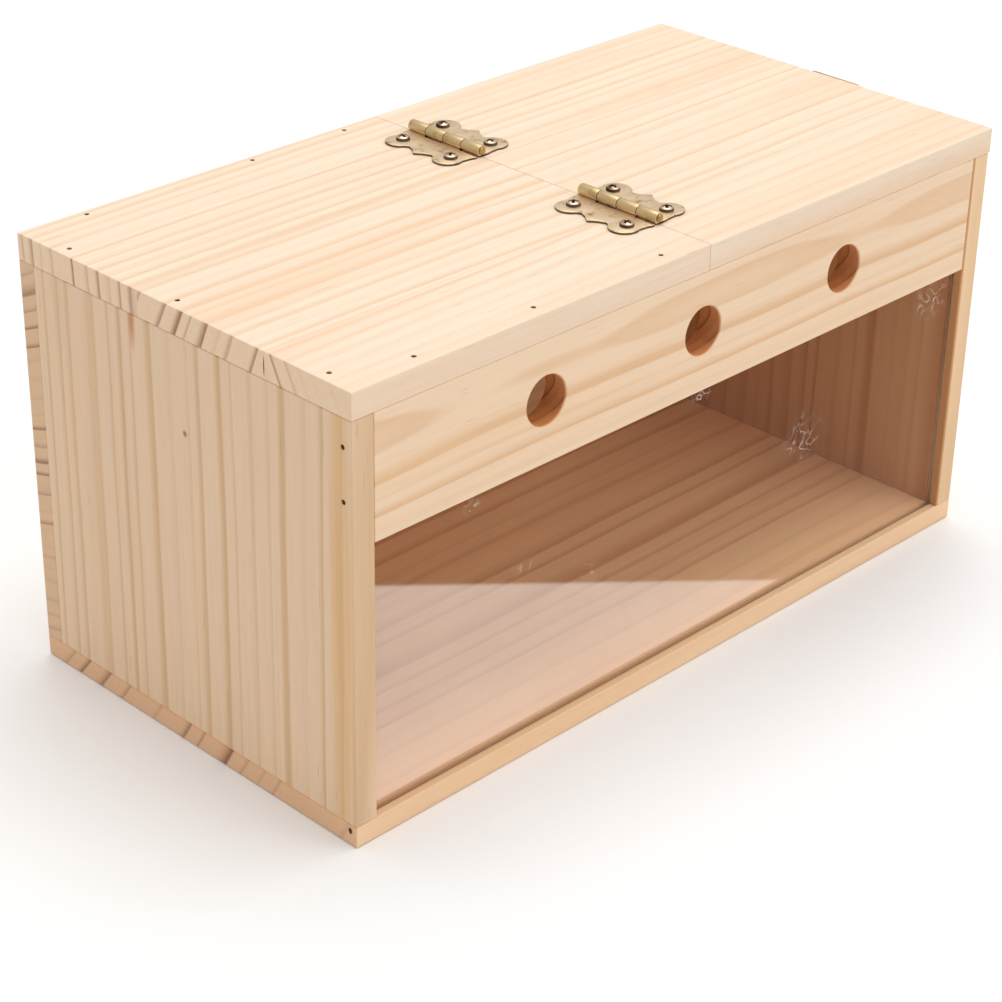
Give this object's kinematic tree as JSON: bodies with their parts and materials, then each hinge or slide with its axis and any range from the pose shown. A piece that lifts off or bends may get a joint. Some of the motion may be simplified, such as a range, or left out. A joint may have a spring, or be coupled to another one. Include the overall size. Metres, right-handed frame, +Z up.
{
  "type": "bird nest box",
  "caption": "Wooden nest box with a clear front pane, vent holes, hinged half lid with a hook latch, rear entrance hole, perch and cage-hanging bolts.",
  "frame": {"origin": "centre of the box's underside, where it stands", "axes": "+Z up; +Y out of the back board, towards the cage; +X to the end with the latch"},
  "size_m": [0.3061, 0.299, 0.1582],
  "materials": {
    "pine": "planed, raw",
    "beech": "turned, raw",
    "clear_acrylic": "clear sheet",
    "antique_brass": "antique plated",
    "zinc_plate": "bright zinc",
    "washer_steel": "dull",
    "yellow_zinc": "yellow passivated",
    "nail_steel": "dark"
  },
  "bodies": {
    "lid": {"lid_board": "pine", "front_hinge_lid_leaf": "antique_brass", "rear_hinge_lid_leaf": "antique_brass", "hinge_screws_lid_side": "antique_brass", "latch_peg_plate": "antique_brass", "latch_peg_plate_screws": "antique_brass", "latch_peg": "antique_brass"},
    "hook": {"latch_hook": "antique_brass"},
    "perch_thread": {"perch_stud": "yellow_zinc"},
    "perch": {"perch_dowel": "beech"},
    "washer_left": {"dished_washer_left": "washer_steel"},
    "nut_left": {"wing_nut_left": "zinc_plate"},
    "washer_right": {"dished_washer_right": "washer_steel"},
    "nut_right": {"wing_nut_right": "zinc_plate"},
    "washer_lower": {"dished_washer_lower": "washer_steel"},
    "nut_lower": {"wing_nut_lower": "zinc_plate"},
    "box": {"floor_board": "pine", "left_end_panel": "pine", "right_end_panel": "pine", "back_board": "pine", "front_rail": "pine", "fixed_top_board": "pine", "window_pane": "clear_acrylic", "top_nails": "nail_steel", "end_nails": "nail_steel", "back_nails": "nail_steel", "floor_nails": "nail_steel", "front_hinge_fixed_leaf": "antique_brass", "rear_hinge_fixed_leaf": "antique_brass", "front_hinge_pin": "antique_brass", "rear_hinge_pin": "antique_brass", "hinge_screws_fixed_side": "antique_brass", "latch_hook_plate": "antique_brass", "latch_hook_plate_screws": "antique_brass", "latch_rivet": "antique_brass", "hanging_bolt_left": "zinc_plate", "hanging_bolt_right": "zinc_plate", "hanging_bolt_lower": "zinc_plate"}
  },
  "joints": [
    {"name": "lid_swing", "type": "hinge", "parent": "box", "child": "lid", "pos_m": [0.0012, 0, 0.1561], "axis": [0, -1, 0], "range_deg": [0, 175]},
    {"name": "latch_hook_swing", "type": "hinge", "parent": "box", "child": "hook", "pos_m": [0.1531, -0.007, 0.1275], "axis": [1, 0, 0], "range_deg": [-160, 180]},
    {"name": "washer_left_travel", "type": "slide", "parent": "box", "child": "washer_left", "axis": [0, 1, 0], "range_m": [0, 0.0112]},
    {"name": "wing_nut_left_spin", "type": "hinge", "parent": "washer_left", "child": "nut_left", "pos_m": [-0.112, 0.0815, 0.122], "axis": [0, 1, 0], "range_deg": [0, 5040.1]},
    {"name": "washer_right_travel", "type": "slide", "parent": "box", "child": "washer_right", "axis": [0, 1, 0], "range_m": [0, 0.0112]},
    {"name": "wing_nut_right_spin", "type": "hinge", "parent": "washer_right", "child": "nut_right", "pos_m": [0.125, 0.0815, 0.122], "axis": [0, 1, 0], "range_deg": [0, 5040.1]},
    {"name": "washer_lower_travel", "type": "slide", "parent": "box", "child": "washer_lower", "axis": [0, 1, 0], "range_m": [0, 0.0112]},
    {"name": "wing_nut_lower_spin", "type": "hinge", "parent": "washer_lower", "child": "nut_lower", "pos_m": [-0.01, 0.0815, 0.0315], "axis": [0, 1, 0], "range_deg": [0, 5040.1]},
    {"name": "perch_travel", "type": "slide", "parent": "box", "child": "perch_thread", "axis": [0, 1, 0], "range_m": [0, 0.0256]},
    {"name": "perch_spin", "type": "hinge", "parent": "perch_thread", "child": "perch", "pos_m": [0.075, 0.1, 0.051], "axis": [0, 1, 0], "range_deg": [0, 11520.1]}
  ],
  "couplings": [
    {"joint": "wing_nut_left_spin", "follows": "washer_left_travel", "rad_per_m": 7854},
    {"joint": "wing_nut_right_spin", "follows": "washer_right_travel", "rad_per_m": 7854},
    {"joint": "wing_nut_lower_spin", "follows": "washer_lower_travel", "rad_per_m": 7854},
    {"joint": "perch_spin", "follows": "perch_travel", "rad_per_m": 7854}
  ]
}
